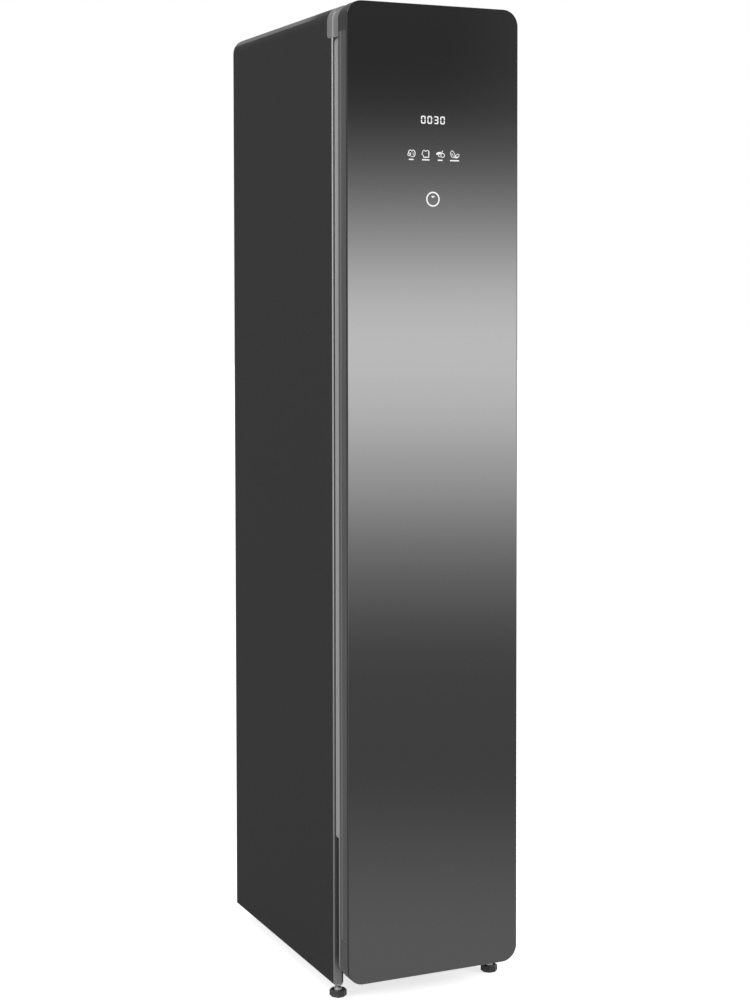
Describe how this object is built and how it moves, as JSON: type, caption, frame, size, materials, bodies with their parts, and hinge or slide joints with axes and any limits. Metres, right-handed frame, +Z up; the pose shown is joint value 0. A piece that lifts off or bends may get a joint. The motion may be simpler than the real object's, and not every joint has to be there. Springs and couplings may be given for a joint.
{
  "type": "clothes care steam cabinet",
  "caption": "Slim free-standing clothes care cabinet with a full-height mirror-glass door, steam chamber, shaking hanger bar, trouser press and lift-out water tanks.",
  "frame": {"origin": "on the floor, below the middle of the footprint (door included)", "axes": "+X to the right seen from the front, +Y to the rear, +Z up"},
  "size_m": [0.35, 0.6, 1.85],
  "materials": {
    "tinted_glass": "dark mirror-coated",
    "shell_paint": "fine satin texture",
    "top_paint": "fine satin texture",
    "cap_plastic": "fine grain",
    "frame_plastic": "fine grain",
    "galvanised": "spangled zinc",
    "liner_plastic": "satin gloss",
    "grey_plastic": "fine grain",
    "dark_plastic": "fine grain",
    "gasket_rubber": "satin",
    "foot_rubber": "matt",
    "hose_rubber": "satin silicone",
    "foam": "cellular",
    "steel": "ground",
    "aluminium": "cast",
    "tank_plastic": "smoky clear plastic",
    "tank_front": "satin gloss",
    "lamp_lens": "opal",
    "circuit_board": "solder mask"
  },
  "bodies": {
    "cabinet": {"side_panel_left": "shell_paint", "side_panel_right": "shell_paint", "top_panel": "top_paint", "rear_panel": "galvanised", "rear_service_cover": "galvanised", "base_tray": "galvanised", "corner_cap_left": "cap_plastic", "corner_cap_right": "cap_plastic", "front_trim_left": "cap_plastic", "front_trim_right": "cap_plastic", "chamber_liner": "liner_plastic", "insulation_blocks": "foam", "chamber_floor": "grey_plastic", "steam_nozzle": "dark_plastic", "chamber_lamp": "lamp_lens", "drive_bracket": "galvanised", "guide_rods": "steel", "hanger_motor": "aluminium", "tank_bay": "grey_plastic", "steam_generator": "aluminium", "steam_hose": "hose_rubber", "water_pumps": "dark_plastic", "fan_housing": "dark_plastic", "fan_motor": "steel", "heater_duct": "galvanised", "control_board": "circuit_board", "power_inlet": "dark_plastic", "hinge_bracket_top": "steel", "hinge_bracket_bottom": "steel", "foot_lock_nuts": "steel"},
    "door": {"door_glass": "tinted_glass", "door_top_cap": "frame_plastic", "door_bottom_cap": "frame_plastic", "door_profile_left": "frame_plastic", "door_profile_right": "frame_plastic", "door_foam": "foam", "door_inner_liner": "liner_plastic", "door_gasket": "gasket_rubber", "display_board": "circuit_board", "hinge_bushes": "dark_plastic", "press_back_plate": "grey_plastic"},
    "press": {"press_flap": "grey_plastic", "press_clips": "dark_plastic"},
    "hanger": {"hanger_carriage": "dark_plastic", "hanger_bar": "grey_plastic"},
    "crank": {"crank_disc": "steel"},
    "fan": {"fan_wheel": "dark_plastic"},
    "fresh_tank": {"fresh_tank_vessel": "tank_plastic", "fresh_tank_front": "tank_front", "fresh_tank_lid": "grey_plastic"},
    "waste_tank": {"waste_tank_vessel": "tank_plastic", "waste_tank_front": "tank_front", "waste_tank_lid": "grey_plastic"},
    "filter": {"lint_filter": "dark_plastic"},
    "aroma": {"aroma_holder": "dark_plastic"},
    "shelf": {"shelf": "grey_plastic"},
    "foot_fl": {"foot_front_left": "foot_rubber"},
    "foot_fr": {"foot_front_right": "foot_rubber"},
    "foot_rl": {"foot_rear_left": "foot_rubber"},
    "foot_rr": {"foot_rear_right": "foot_rubber"}
  },
  "joints": [
    {"name": "door_hinge", "type": "hinge", "parent": "cabinet", "child": "door", "pos_m": [0.161, -0.278, 0.95], "axis": [0, 0, 1], "range_deg": [0, 115]},
    {"name": "press_hinge", "type": "hinge", "parent": "door", "child": "press", "pos_m": [0.104, -0.22, 1.01], "axis": [0, 0, -1], "range_deg": [0, 85]},
    {"name": "hanger_shake", "type": "slide", "parent": "cabinet", "child": "hanger", "axis": [1, 0, 0], "range_m": [-0.01, 0.01]},
    {"name": "crank_turn", "type": "hinge", "parent": "cabinet", "child": "crank", "pos_m": [0, 0, 1.815], "axis": [0, 0, 1], "range_deg": [-45, 45]},
    {"name": "fan_spin", "type": "hinge", "parent": "cabinet", "child": "fan", "pos_m": [-0.075, 0.19, 0.24], "axis": [0, 0, 1], "continuous": true},
    {"name": "fresh_tank_slide", "type": "slide", "parent": "cabinet", "child": "fresh_tank", "axis": [0, -1, 0], "range_m": [0, 0.155]},
    {"name": "waste_tank_slide", "type": "slide", "parent": "cabinet", "child": "waste_tank", "axis": [0, -1, 0], "range_m": [0, 0.155]},
    {"name": "filter_lift", "type": "slide", "parent": "cabinet", "child": "filter", "axis": [0, 0, 1], "range_m": [0, 0.1]},
    {"name": "aroma_lift", "type": "slide", "parent": "cabinet", "child": "aroma", "axis": [0, 0, 1], "range_m": [0, 0.1]},
    {"name": "shelf_lift", "type": "slide", "parent": "cabinet", "child": "shelf", "axis": [0, 0, 1], "range_m": [0, 0.06]},
    {"name": "foot_fl_screw", "type": "hinge", "parent": "cabinet", "child": "foot_fl", "pos_m": [-0.16, -0.216, 0.03], "axis": [0, 0, 1], "continuous": true},
    {"name": "foot_fr_screw", "type": "hinge", "parent": "cabinet", "child": "foot_fr", "pos_m": [0.16, -0.216, 0.03], "axis": [0, 0, 1], "continuous": true},
    {"name": "foot_rl_screw", "type": "hinge", "parent": "cabinet", "child": "foot_rl", "pos_m": [-0.118, 0.262, 0.03], "axis": [0, 0, 1], "continuous": true},
    {"name": "foot_rr_screw", "type": "hinge", "parent": "cabinet", "child": "foot_rr", "pos_m": [0.118, 0.262, 0.03], "axis": [0, 0, 1], "continuous": true}
  ],
  "couplings": [
    {"joint": "crank_turn", "follows": "hanger_shake", "rad_per_m": -76.336},
    {"joint": "fresh_tank_slide", "follows": "door_hinge", "m_per_rad": 0.075},
    {"joint": "waste_tank_slide", "follows": "door_hinge", "m_per_rad": 0.042}
  ]
}
